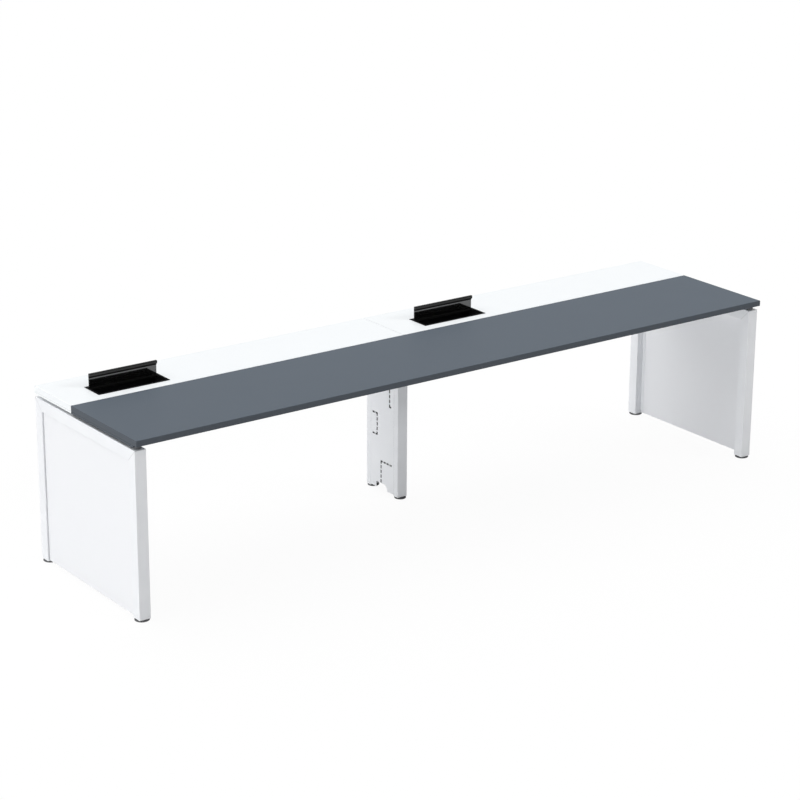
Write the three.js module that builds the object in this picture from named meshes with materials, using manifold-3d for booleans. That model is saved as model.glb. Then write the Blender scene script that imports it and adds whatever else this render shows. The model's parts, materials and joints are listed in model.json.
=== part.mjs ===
// Benching desk for two: a long worktop in front of two service panels with flip-up cable flaps,
// on two panelled end frames and a narrow cable leg in the middle.
// Millimetres, +X along the desk, -Y towards the people sitting at it, +Z up, floor at z = 0.
import * as THREE from 'three';
import { mergeVertices } from 'three/addons/utils/BufferGeometryUtils.js';
import Module from 'manifold-3d';

const wasm = await Module();
wasm.setup();

// Boards
const BAY_LENGTH = 1600;
const WORKTOP_DEPTH = 500;
const SERVICE_DEPTH = 300;
const DESK_HEIGHT = 745;
const BOARD_THICKNESS = 25;
const BOARD_SEAM = 1;
const BOARD_EDGE_RADIUS = 1.5;

// Clearances between pieces that sit on each other, that turn, and beside the lid
const SEAT_GAP = 0.3;
const RUNNING_GAP = 0.3;
const LID_SIDE_GAP = 0.6;

// End frames: mitred square tube with a thin infill panel
const POST_SIZE = 50;
const POST_RADIUS = 1.5;
const TUBE_WALL = 2;
const FRAME_FRONT_INSET = 15;
const FRAME_REAR_INSET = 5;
const MITRE_GAP = 0.4;
const INFILL_THICKNESS = 10;
const INFILL_RECESS = 7;
const INFILL_LIFT = 5;
const INFILL_SIDE_GAP = 2;
const ANGLE_LEG = 16;
const ANGLE_THICKNESS = 2;
const ANGLE_END_INSET = 12;

// Gap over the end frames, and the dark spacers in it that carry the worktop's front corners
const SPACER_HEIGHT = 20;
const SPACER_RADIUS = 15;
const SPACER_EDGE = 1;

// Beams and the saddles that hold their ends
const BEAM_WIDTH = 30;
const BEAM_HEIGHT = 60;
const FRONT_BEAM_SETBACK = 220;
const REAR_BEAM_GAP = 33;
const SADDLE_THICKNESS = 3;
const SADDLE_LENGTH = 40;
const SADDLE_CHEEK_HEIGHT = 34;
const SADDLE_EAR = 18;

// Middle leg: two slim posts, a tapered arm on top and a folded cover on each side
const LEG_SETBACK = 3;
const LEG_REAR_MARGIN = 5;
const LEG_POST_DEPTH = 30;
const ARM_HEIGHT = 60;
const ARM_TIP_HEIGHT = 20;
const ARM_TIP_LENGTH = 5;
const ARM_WALL = 3;
const ARM_WINDOW_LENGTH = 110;
const ARM_WINDOW_HEIGHT = 34;
const COVER_SHEET = 1.5;
const COVER_RECESS = 0.5;
const COVER_FLANGE = 12;
const COVER_LIFT = 5;

// Knock-outs in the covers: reach in from the cover's edge, foot above the floor, height
const UPPER_KNOCKOUT_REACH = 32;
const UPPER_KNOCKOUT_FOOT = 407;
const UPPER_KNOCKOUT_HEIGHT = 97;
const MIDDLE_KNOCKOUT_REACH = 46;
const MIDDLE_KNOCKOUT_FOOT = 257;
const MIDDLE_KNOCKOUT_HEIGHT = 97;
const LOWER_KNOCKOUT_REACH = 93;
const LOWER_KNOCKOUT_HEIGHT = 102;
const DASH_LENGTH = 13;
const DASH_WIDTH = 5;
const DASH_PITCH = 22;
const NOTCH_WIDTH = 78;
const NOTCH_HEIGHT = 26;
const NOTCH_FROM_FRONT = 49;
const NOTCH_ROUND = 20;

// Levelling feet and the plugs that hold their stems
const END_FOOT_RADIUS = 30;
const MIDDLE_FOOT_RADIUS = 26;
const FOOT_THICKNESS = 5;
const FOOT_EDGE = 1;
const FOOT_CROWN = 1.5;
const FOOT_NUT_RADIUS = 11;
const FOOT_NUT_HEIGHT = 2;
const FOOT_TOP_GAP = 1;
const FOOT_STEM_RADIUS = 5;
const FOOT_STEM_SPARE = 5;
const PLUG_HEIGHT = 30;

// Cable flaps
const FLAP_LENGTH = 327;
const FLAP_DEPTH = 117;
const FLAP_FROM_BAY_END = 151;
const FLAP_SETBACK = 48;
const FLANGE_THICKNESS = 1.6;
const FLANGE_EDGE = 0.5;
const BEZEL_WIDTH = 8;
const REAR_BEZEL_WIDTH = 21;
const SLEEVE_INSET = 5;
const SLEEVE_WALL = 2;
const SLEEVE_DEPTH = 50;
const CUTOUT_GAP = 1.5;
const CABLE_SLOT = 17.7;
const LID_THICKNESS = 2.5;
const LID_LIP_HEIGHT = 13.5;
const LID_LIP_DEPTH = 8;
const LID_LIP_RADIUS = 1.5;
const LID_RIB_FROM_TIP = 17;
const LID_RIB_SIZE = 2.2;
const BARREL_RADIUS = 5;
const PIN_RADIUS = 2;
const LUG_REACH = 6;
const LUG_THICKNESS = 3;
const LUG_LENGTH = 10;
const LUG_FROM_AXIS = 8;
const BRUSH_BACK = 6;
const BRUSH_HEIGHT = 14;
const BRISTLE_THICKNESS = 3;
const BRISTLE_PITCH = 6;
const BRISTLE_WIDTH = 4;

// Cable trays
const TRAY_SHEET = 1.5;
const TRAY_DEPTH = 115;
const TRAY_TOP_GAP = 10;
const TRAY_SADDLE_GAP = 12;
const TRAY_LEG_GAP = 77;
const TRAY_SLOT_LENGTH = 40;
const TRAY_SLOT_WIDTH = 8;
const TRAY_SLOT_PITCH = 140;

// Sides of what is turned round
const ROUND_SIDES = 32;

// Overall sizes and heights that follow from the sizes above
const BAY_NAMES = ['left', 'right'];
const DESK_LENGTH = BAY_LENGTH * BAY_NAMES.length;
const DESK_DEPTH = WORKTOP_DEPTH + SERVICE_DEPTH;
const FRONT_EDGE = -DESK_DEPTH / 2;
const REAR_EDGE = DESK_DEPTH / 2;
const BOARD_JOINT = FRONT_EDGE + WORKTOP_DEPTH;
const BOARD_UNDERSIDE = DESK_HEIGHT - BOARD_THICKNESS;
const POST_FOOT = FOOT_THICKNESS + FOOT_NUT_HEIGHT + FOOT_TOP_GAP;

// End frames, from their outer faces
const FRAME_TOP = BOARD_UNDERSIDE - SPACER_HEIGHT;
const FRAME_FRONT = FRONT_EDGE + FRAME_FRONT_INSET;
const FRAME_REAR = REAR_EDGE - FRAME_REAR_INSET;
const FRAME_OUTER = DESK_LENGTH / 2;
const FRAME_INNER = FRAME_OUTER - POST_SIZE;
const POST_CENTRE = FRAME_OUTER - POST_SIZE / 2;

// Flaps: the pin lies as deep under the flange as the lid's barrel is thick
const FLANGE_TOP = DESK_HEIGHT + SEAT_GAP + FLANGE_THICKNESS;
const FLAP_HALF = FLAP_LENGTH / 2;
const FLAP_FRONT = BOARD_JOINT + FLAP_SETBACK;
const FLAP_REAR = FLAP_FRONT + FLAP_DEPTH;
const OPENING_HALF = FLAP_HALF - BEZEL_WIDTH;
const OPENING_FRONT = FLAP_FRONT + BEZEL_WIDTH;
const OPENING_REAR = FLAP_REAR - REAR_BEZEL_WIDTH;
const SLEEVE_HALF = FLAP_HALF - SLEEVE_INSET;
const SLEEVE_INNER_HALF = SLEEVE_HALF - SLEEVE_WALL;
const HINGE_Y = OPENING_REAR - BARREL_RADIUS - RUNNING_GAP;
const HINGE_Z = FLANGE_TOP - BARREL_RADIUS;
const LID_HALF = OPENING_HALF - LID_SIDE_GAP;
const LID_REACH = HINGE_Y - OPENING_FRONT - CABLE_SLOT;
const LID_INNER_FACE = BARREL_RADIUS - LID_THICKNESS;
const PIN_BORE = PIN_RADIUS + RUNNING_GAP;

// Beams, each under the board edge or flap that it carries
const BEAM_TOP = BOARD_UNDERSIDE - SEAT_GAP;
const BEAM_BOTTOM = BEAM_TOP - BEAM_HEIGHT;
const BEAM_END = FRAME_INNER - SADDLE_THICKNESS - 2 * SEAT_GAP;
const FRONT_BEAM_Y = FRONT_EDGE + FRONT_BEAM_SETBACK;
const MIDDLE_BEAM_Y = BOARD_JOINT;
const REAR_BEAM_Y = FLAP_REAR + REAR_BEAM_GAP + BEAM_WIDTH / 2;

// Middle leg, under the service panels
const LEG_FRONT = BOARD_JOINT + LEG_SETBACK;
const LEG_REAR = REAR_BEAM_Y + BEAM_WIDTH / 2 + LEG_REAR_MARGIN;
const ARM_TOP = BEAM_BOTTOM - SEAT_GAP;
const ARM_BOTTOM = ARM_TOP - ARM_HEIGHT;
const LEG_POST_TOP = ARM_BOTTOM - SEAT_GAP;
const COVER_FRONT = LEG_FRONT + LEG_POST_DEPTH + SEAT_GAP;
const COVER_REAR = LEG_REAR - LEG_POST_DEPTH - SEAT_GAP;
const COVER_TOP = LEG_POST_TOP - SEAT_GAP;
const COVER_FOOT = POST_FOOT + COVER_LIFT;

const BAYS = BAY_NAMES.map((name, index) => {
  const start = BAY_LENGTH * index - DESK_LENGTH / 2;
  return { name, start, side: index === 0 ? -1 : 1 };
});

const FINISHES = {
  slate: { color: 0x69707a, roughness: 0.55, metalness: 0 },
  whiteBoard: { color: 0xf4f6f8, roughness: 0.5, metalness: 0 },
  whiteSteel: { color: 0xe9ebee, roughness: 0.4, metalness: 0.1 },
  darkSpacer: { color: 0x4a4d52, roughness: 0.6, metalness: 0.1 },
  blackLid: { color: 0x0d0e10, roughness: 0.25, metalness: 0.3 },
  blackPlastic: { color: 0x111214, roughness: 0.45, metalness: 0 },
  bristle: { color: 0x0a0a0b, roughness: 0.9, metalness: 0 },
  footPlastic: { color: 0x4b4d50, roughness: 0.6, metalness: 0 },
  steel: { color: 0xa9adb2, roughness: 0.35, metalness: 0.9 },
};

const desk = new THREE.Group();

// Named piece in its own finish, at a place inside its group
function piece(group, name, geometry, finish, x = 0, y = 0, z = 0) {
  const mesh = new THREE.Mesh(geometry, new THREE.MeshStandardMaterial(FINISHES[finish]));
  mesh.name = name;
  mesh.position.set(x, y, z);
  group.add(mesh);
}

// Closed solid of a geometry, for cutting and joining
function solid(geometry) {
  const bare = geometry.clone();
  bare.deleteAttribute('normal');
  bare.deleteAttribute('uv');
  const welded = mergeVertices(bare);
  const mesh = new wasm.Mesh({
    numProp: 3,
    vertProperties: new Float32Array(welded.attributes.position.array),
    triVerts: new Uint32Array(welded.index.array),
  });
  return new wasm.Manifold(mesh);
}

function geometryOf(body) {
  const mesh = body.getMesh();
  const geometry = new THREE.BufferGeometry();
  geometry.setAttribute('position', new THREE.BufferAttribute(mesh.vertProperties, 3));
  geometry.setIndex(new THREE.BufferAttribute(mesh.triVerts, 1));
  geometry.computeVertexNormals();
  return geometry;
}

function join(geometries) {
  return geometries.map(solid).reduce((whole, body) => whole.add(body));
}

function cut(body, tools) {
  return geometryOf(tools.reduce((rest, tool) => rest.subtract(solid(tool)), body));
}

// Box between two corners, whose ends along X may come in either order
function block(xa, xb, y0, y1, z0, z1) {
  const box = new THREE.BoxGeometry(Math.abs(xb - xa), y1 - y0, z1 - z0);
  return box.translate((xa + xb) / 2, (y0 + y1) / 2, (z0 + z1) / 2);
}

function polygon(points) {
  return new THREE.Shape(points.map(([u, v]) => new THREE.Vector2(u, v)));
}

// Rectangle with round corners, centred on the origin
function roundedRectangle(width, height, radius) {
  const w = width / 2 - radius;
  const h = height / 2 - radius;
  const outline = new THREE.Shape();
  outline.absarc(w, h, radius, 0, Math.PI / 2);
  outline.absarc(-w, h, radius, Math.PI / 2, Math.PI);
  outline.absarc(-w, -h, radius, Math.PI, 1.5 * Math.PI);
  outline.absarc(w, -h, radius, 1.5 * Math.PI, 2 * Math.PI);
  outline.closePath();
  return outline;
}

// Outline pushed along an axis: along x it is drawn in (y, z), along y in (x, z), along z in (x, y)
const X = new THREE.Vector3(1, 0, 0);
const Y = new THREE.Vector3(0, 1, 0);
const Z = new THREE.Vector3(0, 0, 1);
const BASES = { x: [Y, Z, X], y: [X, Z, Y.clone().negate()], z: [X, Y, Z] };

function prism(outline, axis, from, to, options = {}) {
  const settings = { depth: to - from, bevelEnabled: false, curveSegments: 2, ...options };
  const geometry = new THREE.ExtrudeGeometry(outline, settings);
  geometry.applyMatrix4(new THREE.Matrix4().makeBasis(...BASES[axis]));
  const start = new THREE.Vector3();
  start[axis] = axis === 'y' ? to : from;
  return geometry.translate(start.x, start.y, start.z);
}

// Board or bar with softened edges, between two corners
function softBlock(x0, x1, y0, y1, z0, z1, edge, steps) {
  const outline = polygon([
    [x0 + edge, y0 + edge],
    [x1 - edge, y0 + edge],
    [x1 - edge, y1 - edge],
    [x0 + edge, y1 - edge],
  ]);
  return prism(outline, 'z', z0 + edge, z1 - edge, {
    bevelEnabled: true,
    bevelSize: edge,
    bevelThickness: edge,
    bevelSegments: steps,
  });
}

// Rectangular tube along an axis, with round corners and open ends
function tube(width, height, axis, from, to) {
  const section = roundedRectangle(width, height, POST_RADIUS);
  const innerRadius = Math.max(POST_RADIUS - TUBE_WALL, TUBE_WALL / 4);
  section.holes.push(roundedRectangle(width - 2 * TUBE_WALL, height - 2 * TUBE_WALL, innerRadius));
  return prism(section, axis, from, to);
}

// Round body about the Z axis, from its outline in (radius, height)
function turned(outline) {
  const lathe = new THREE.LatheGeometry(outline.map(([r, z]) => new THREE.Vector2(r, z)), ROUND_SIDES);
  return geometryOf(solid(lathe.rotateX(Math.PI / 2)));
}

// Folded sheet of even thickness with its legs turned up, drawn with its floor along u
function channelSection(u0, u1, floor, top, sheet) {
  return polygon([
    [u0, floor],
    [u1, floor],
    [u1, top],
    [u1 - sheet, top],
    [u1 - sheet, floor + sheet],
    [u0 + sheet, floor + sheet],
    [u0 + sheet, top],
    [u0, top],
  ]);
}

// Worktop in front, and behind it a service panel for each bay, cut out for the bay's flap
function boards() {
  const half = DESK_LENGTH / 2;
  const board = (x0, x1, y0, y1) => softBlock(
    x0, x1, y0, y1, BOARD_UNDERSIDE, DESK_HEIGHT, BOARD_EDGE_RADIUS, 2);
  const worktop = board(-half, half, FRONT_EDGE, BOARD_JOINT - BOARD_SEAM / 2);
  piece(desk, 'front_worktop', worktop, 'slate');
  const margin = SLEEVE_INSET - CUTOUT_GAP;
  for (const { name, start, side } of BAYS) {
    const x0 = start + (side > 0 ? BOARD_SEAM / 2 : 0);
    const x1 = start + BAY_LENGTH - (side < 0 ? BOARD_SEAM / 2 : 0);
    const panel = board(x0, x1, BOARD_JOINT + BOARD_SEAM / 2, REAR_EDGE);
    const flapStart = start + FLAP_FROM_BAY_END;
    const cutout = block(flapStart + margin, flapStart + FLAP_LENGTH - margin,
      FLAP_FRONT + margin, FLAP_REAR - margin,
      BOARD_UNDERSIDE - BOARD_THICKNESS, DESK_HEIGHT + BOARD_THICKNESS);
    piece(desk, `rear_panel_${name}`, cut(solid(panel), [cutout]), 'whiteBoard');
  }
}

// What a mitre takes off a post, or off the rail, at the frame's front or rear upper corner
function mitreTool(corner, inward, offPost) {
  const reach = 2 * POST_SIZE;
  const shift = (offPost ? -1 : 1) * MITRE_GAP / Math.SQRT2;
  const outside = corner - inward * reach;
  const inside = corner + inward * reach;
  const beyond = FRAME_TOP + (offPost ? 2 * reach : -2 * reach);
  const outline = polygon([
    [outside, FRAME_TOP + reach + shift],
    [inside, FRAME_TOP - reach + shift],
    [inside, beyond],
    [outside, beyond],
  ]);
  return prism(outline, 'x', -POST_SIZE, POST_SIZE);
}

// One end: two posts and a rail mitred together, the infill panel with its angles, and the front spacer
function endFrame({ name, side }) {
  const frame = new THREE.Group();
  frame.position.x = side * POST_CENTRE;
  desk.add(frame);
  const ends = [
    { place: 'front', corner: FRAME_FRONT, inward: 1 },
    { place: 'rear', corner: FRAME_REAR, inward: -1 },
  ];

  const rail = tube(POST_SIZE, POST_SIZE, 'y', FRAME_FRONT, FRAME_REAR);
  rail.translate(0, 0, FRAME_TOP - POST_SIZE / 2);
  const railTools = ends.map(({ corner, inward }) => mitreTool(corner, inward, false));
  piece(frame, `${name}_top_rail`, cut(solid(rail), railTools), 'whiteSteel');

  const infillTop = FRAME_TOP - POST_SIZE - SEAT_GAP;
  const infillFoot = POST_FOOT + INFILL_LIFT;
  const infillOuter = side * (POST_SIZE / 2 - INFILL_RECESS);
  const infillInner = infillOuter - side * INFILL_THICKNESS;
  const infillMargin = POST_SIZE + INFILL_SIDE_GAP;
  const infill = block(infillOuter, infillInner,
    FRAME_FRONT + infillMargin, FRAME_REAR - infillMargin, infillFoot, infillTop);
  piece(frame, `${name}_end_panel`, infill, 'whiteBoard');

  for (const { place, corner, inward } of ends) {
    const post = tube(POST_SIZE, POST_SIZE, 'z', POST_FOOT, FRAME_TOP);
    post.translate(0, corner + inward * POST_SIZE / 2, 0);
    const mitred = cut(solid(post), [mitreTool(corner, inward, true)]);
    piece(frame, `${name}_${place}_post`, mitred, 'whiteSteel');

    const seat = corner + inward * (POST_SIZE + SEAT_GAP);
    const section = angleSection(infillInner - side * SEAT_GAP, seat, -side, inward);
    const angle = prism(section, 'z', infillFoot + ANGLE_END_INSET, infillTop - ANGLE_END_INSET);
    piece(frame, `${name}_${place}_panel_angle`, angle, 'whiteSteel');
  }

  const spacer = turned([
    [0, FRAME_TOP + SEAT_GAP],
    [SPACER_RADIUS - SPACER_EDGE, FRAME_TOP + SEAT_GAP],
    [SPACER_RADIUS, FRAME_TOP + SEAT_GAP + SPACER_EDGE],
    [SPACER_RADIUS, BOARD_UNDERSIDE - SEAT_GAP - SPACER_EDGE],
    [SPACER_RADIUS - SPACER_EDGE, BOARD_UNDERSIDE - SEAT_GAP],
    [0, BOARD_UNDERSIDE - SEAT_GAP],
  ]);
  piece(frame, `${name}_front_spacer`, spacer, 'darkSpacer', 0, FRAME_FRONT + POST_SIZE / 2, 0);
}

// L section with its corner at (x, y) and its legs running along dx and dy
function angleSection(x, y, dx, dy) {
  return polygon([
    [x, y],
    [x + dx * ANGLE_LEG, y],
    [x + dx * ANGLE_LEG, y + dy * ANGLE_THICKNESS],
    [x + dx * ANGLE_THICKNESS, y + dy * ANGLE_THICKNESS],
    [x + dx * ANGLE_THICKNESS, y + dy * ANGLE_LEG],
    [x, y + dy * ANGLE_LEG],
  ]);
}

// Beams along the desk, and a saddle on the end frame at each beam end
function beams() {
  const rows = [['front', FRONT_BEAM_Y], ['middle', MIDDLE_BEAM_Y], ['rear', REAR_BEAM_Y]];
  for (const [place, y] of rows) {
    const beam = tube(BEAM_WIDTH, BEAM_HEIGHT, 'x', -BEAM_END, BEAM_END);
    piece(desk, `${place}_beam`, beam, 'whiteSteel', 0, y, BEAM_TOP - BEAM_HEIGHT / 2);
    for (const { name, side } of BAYS) {
      piece(desk, `${name}_${place}_beam_saddle`, saddle(side), 'whiteSteel', 0, y, 0);
    }
  }
}

// Channel that the beam end lies in, on a plate with ears that bolts to the rail
function saddle(side) {
  const plateFace = FRAME_INNER - SEAT_GAP;
  const seat = BEAM_BOTTOM - SEAT_GAP;
  const floor = seat - SADDLE_THICKNESS;
  const top = seat + SADDLE_CHEEK_HEIGHT;
  const outer = BEAM_WIDTH / 2 + SEAT_GAP + SADDLE_THICKNESS;
  const ends = [side * plateFace, side * (plateFace - SADDLE_LENGTH)];
  const section = channelSection(-outer, outer, floor, top, SADDLE_THICKNESS);
  const channel = prism(section, 'x', Math.min(...ends), Math.max(...ends));
  const plate = block(side * plateFace, side * (plateFace - SADDLE_THICKNESS),
    -outer - SADDLE_EAR, outer + SADDLE_EAR, floor, top);
  return geometryOf(join([channel, plate]));
}

// Middle leg: posts, the tapered arm that carries the beams, and the two covers. The arm is open below,
// and cables pass from the trays through its side windows down into the leg
function middleLeg() {
  const half = POST_SIZE / 2;
  const posts = [['front', LEG_FRONT + LEG_POST_DEPTH / 2], ['rear', LEG_REAR - LEG_POST_DEPTH / 2]];
  for (const [place, y] of posts) {
    const post = tube(POST_SIZE, LEG_POST_DEPTH, 'z', POST_FOOT, LEG_POST_TOP);
    piece(desk, `middle_${place}_post`, post, 'whiteSteel', 0, y, 0);
  }

  const tip = FRONT_BEAM_Y - BEAM_WIDTH / 2 - ARM_TIP_LENGTH;
  const outline = polygon([
    [LEG_REAR, ARM_BOTTOM],
    [LEG_REAR, ARM_TOP],
    [tip, ARM_TOP],
    [tip, ARM_TOP - ARM_TIP_HEIGHT],
    [LEG_FRONT, ARM_BOTTOM],
  ]);
  const hollow = block(ARM_WALL - half, half - ARM_WALL, tip + ARM_WALL, LEG_REAR - ARM_WALL,
    ARM_BOTTOM - ARM_HEIGHT, ARM_TOP - ARM_WALL);
  const windowMiddle = (COVER_FRONT + COVER_REAR) / 2;
  const windowLevel = (ARM_BOTTOM + ARM_TOP) / 2;
  const cableWindow = block(-POST_SIZE, POST_SIZE,
    windowMiddle - ARM_WINDOW_LENGTH / 2, windowMiddle + ARM_WINDOW_LENGTH / 2,
    windowLevel - ARM_WINDOW_HEIGHT / 2, windowLevel + ARM_WINDOW_HEIGHT / 2);
  const arm = cut(solid(prism(outline, 'x', -half, half)), [hollow, cableWindow]);
  piece(desk, 'middle_leg_arm', arm, 'whiteSteel');

  for (const { name, side } of BAYS) {
    piece(desk, `middle_${name}_cover`, cover(side), 'whiteSteel');
  }
}

// Folded cover between the leg's posts, with its knock-outs cut as dashes and a notch at the floor
function cover(side) {
  const face = POST_SIZE / 2 - COVER_RECESS;
  const outline = channelSection(COVER_FRONT, COVER_REAR, 0, COVER_FLANGE, COVER_SHEET);
  const section = polygon(outline.getPoints().map(({ x: y, y: depth }) => [side * (face - depth), y]));
  const sheet = solid(prism(section, 'z', COVER_FOOT, COVER_TOP));

  const notchFront = COVER_FRONT + NOTCH_FROM_FRONT;
  const notchTop = COVER_FOOT + NOTCH_HEIGHT;
  const notchOutline = polygon([
    [notchFront, COVER_FOOT - NOTCH_HEIGHT],
    [notchFront + NOTCH_WIDTH, COVER_FOOT - NOTCH_HEIGHT],
    [notchFront + NOTCH_WIDTH, notchTop],
  ]);
  notchOutline.absarc(notchFront + NOTCH_ROUND, notchTop - NOTCH_ROUND, NOTCH_ROUND, Math.PI / 2, Math.PI);
  const notch = prism(notchOutline, 'x', -POST_SIZE, POST_SIZE, { curveSegments: 6 });

  const front = COVER_FRONT + COVER_SHEET + DASH_WIDTH;
  const rear = COVER_REAR - COVER_SHEET - DASH_WIDTH;
  const upper = COVER_FRONT + UPPER_KNOCKOUT_REACH;
  const upperTop = UPPER_KNOCKOUT_FOOT + UPPER_KNOCKOUT_HEIGHT;
  const middle = COVER_REAR - MIDDLE_KNOCKOUT_REACH;
  const middleTop = MIDDLE_KNOCKOUT_FOOT + MIDDLE_KNOCKOUT_HEIGHT;
  const lower = COVER_FRONT + LOWER_KNOCKOUT_REACH;
  const lowerTop = notchTop + LOWER_KNOCKOUT_HEIGHT;
  const lines = [
    [[upper, UPPER_KNOCKOUT_FOOT], [upper, upperTop]],
    [[upper, UPPER_KNOCKOUT_FOOT], [front, UPPER_KNOCKOUT_FOOT]],
    [[upper, upperTop], [front, upperTop]],
    [[middle, MIDDLE_KNOCKOUT_FOOT], [middle, middleTop]],
    [[middle, MIDDLE_KNOCKOUT_FOOT], [rear, MIDDLE_KNOCKOUT_FOOT]],
    [[middle, middleTop], [rear, middleTop]],
    [[lower, lowerTop], [lower, notchTop + DASH_WIDTH]],
    [[lower, lowerTop], [front, lowerTop]],
  ];
  return cut(sheet, [notch, ...lines.flatMap(([from, to]) => dashes(from, to, side))]);
}

// Slots through a cover along an upright or level line, so that they meet where lines meet at a corner
function dashes([y0, z0], [y1, z1], side) {
  const length = Math.hypot(y1 - y0, z1 - z0);
  const upright = y0 === y1;
  const way = Math.sign(upright ? z1 - z0 : y1 - y0);
  const faces = [side * POST_SIZE / 2, side * (POST_SIZE / 2 - COVER_RECESS - 2 * COVER_SHEET)];
  const slots = [];
  const half = DASH_WIDTH / 2;
  for (let start = -half; start + DASH_LENGTH <= length + half; start += DASH_PITCH) {
    const middle = way * (start + DASH_LENGTH / 2);
    const [y, z] = upright ? [y0, z0 + middle] : [y0 + middle, z0];
    const [wide, tall] = upright ? [DASH_WIDTH, DASH_LENGTH] : [DASH_LENGTH, DASH_WIDTH];
    slots.push(block(...faces, y - wide / 2, y + wide / 2, z - tall / 2, z + tall / 2));
  }
  return slots;
}

// Levelling foot: a crowned disc, a nut and the stem
function foot(radius) {
  const nutTop = FOOT_THICKNESS + FOOT_NUT_HEIGHT;
  const stemTop = POST_FOOT + PLUG_HEIGHT + FOOT_STEM_SPARE;
  return turned([
    [0, 0],
    [radius - FOOT_EDGE, 0],
    [radius, FOOT_EDGE],
    [radius, FOOT_THICKNESS - FOOT_CROWN],
    [radius - FOOT_CROWN, FOOT_THICKNESS],
    [FOOT_NUT_RADIUS, FOOT_THICKNESS],
    [FOOT_NUT_RADIUS, nutTop],
    [FOOT_STEM_RADIUS, nutTop],
    [FOOT_STEM_RADIUS, stemTop],
    [0, stemTop],
  ]);
}

// Plug in a post's lower end, bored for the stem, with its corners clear of the tube's round ones
function plug(depth) {
  const w = POST_SIZE / 2 - TUBE_WALL - SEAT_GAP;
  const d = depth / 2 - TUBE_WALL - SEAT_GAP;
  const r = POST_RADIUS;
  const section = polygon([
    [w, r - d], [w, d - r], [w - r, d], [r - w, d],
    [-w, d - r], [-w, r - d], [r - w, -d], [w - r, -d],
  ]);
  const bore = new THREE.Path();
  bore.absarc(0, 0, FOOT_STEM_RADIUS + RUNNING_GAP, 0, 2 * Math.PI);
  section.holes.push(bore);
  return prism(section, 'z', POST_FOOT, POST_FOOT + PLUG_HEIGHT, { curveSegments: 8 });
}

function feet() {
  const places = [
    ['middle_front', 0, LEG_FRONT + LEG_POST_DEPTH / 2, LEG_POST_DEPTH, MIDDLE_FOOT_RADIUS],
    ['middle_rear', 0, LEG_REAR - LEG_POST_DEPTH / 2, LEG_POST_DEPTH, MIDDLE_FOOT_RADIUS],
  ];
  for (const { name, side } of BAYS) {
    const x = side * POST_CENTRE;
    places.push([`${name}_front`, x, FRAME_FRONT + POST_SIZE / 2, POST_SIZE, END_FOOT_RADIUS]);
    places.push([`${name}_rear`, x, FRAME_REAR - POST_SIZE / 2, POST_SIZE, END_FOOT_RADIUS]);
  }
  for (const [name, x, y, depth, radius] of places) {
    piece(desk, `${name}_foot`, foot(radius), 'footPlastic', x, y, 0);
    piece(desk, `${name}_post_plug`, plug(depth), 'blackPlastic', x, y, 0);
  }
}

// Cable flap: a flanged sleeve in the panel, a lid on a pin near its rear edge, and a brush in front
function flap({ name, start }) {
  const group = new THREE.Group();
  group.position.x = start + FLAP_FROM_BAY_END + FLAP_HALF;
  desk.add(group);
  piece(group, `${name}_flap_frame`, flapFrame(), 'blackPlastic');
  piece(group, `${name}_flap_lid`, flapLid(), 'blackLid', 0, HINGE_Y, HINGE_Z);
  piece(group, `${name}_flap_pin`, rod(PIN_RADIUS, 2 * SLEEVE_HALF), 'steel', 0, HINGE_Y, HINGE_Z);
  piece(group, `${name}_flap_brush`, flapBrush(), 'bristle');
}

function rod(radius, length) {
  return new THREE.CylinderGeometry(radius, radius, length, ROUND_SIDES).rotateZ(Math.PI / 2);
}

// Flange and sleeve in one, with a lug at each side that the closed lid comes to rest on
function flapFrame() {
  const underside = DESK_HEIGHT + SEAT_GAP;
  const foot = DESK_HEIGHT - SLEEVE_DEPTH;
  const inside = SLEEVE_INSET + SLEEVE_WALL;
  const flange = softBlock(-FLAP_HALF, FLAP_HALF, FLAP_FRONT, FLAP_REAR,
    underside, FLANGE_TOP, FLANGE_EDGE, 1);
  const sleeve = block(-SLEEVE_HALF, SLEEVE_HALF, FLAP_FRONT + SLEEVE_INSET, FLAP_REAR - SLEEVE_INSET,
    foot, underside + FLANGE_THICKNESS / 2);
  const hollow = block(-SLEEVE_INNER_HALF, SLEEVE_INNER_HALF, FLAP_FRONT + inside, FLAP_REAR - inside,
    foot - SLEEVE_DEPTH, underside);
  const opening = block(-OPENING_HALF, OPENING_HALF, OPENING_FRONT, OPENING_REAR,
    foot, FLANGE_TOP + SLEEVE_DEPTH);
  const shell = cut(join([flange, sleeve]), [hollow, opening]);

  const lugTop = HINGE_Z + LID_INNER_FACE - SEAT_GAP;
  const lugRear = HINGE_Y - LUG_FROM_AXIS;
  const lugs = [-1, 1].map((end) => block(
    end * (SLEEVE_HALF - SLEEVE_WALL / 2), end * (SLEEVE_INNER_HALF - LUG_REACH),
    lugRear - LUG_LENGTH, lugRear, lugTop - LUG_THICKNESS, lugTop));
  const bore = rod(PIN_BORE, 2 * FLAP_LENGTH).translate(0, HINGE_Y, HINGE_Z);
  return cut(join([shell, ...lugs]), [bore]);
}

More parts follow.
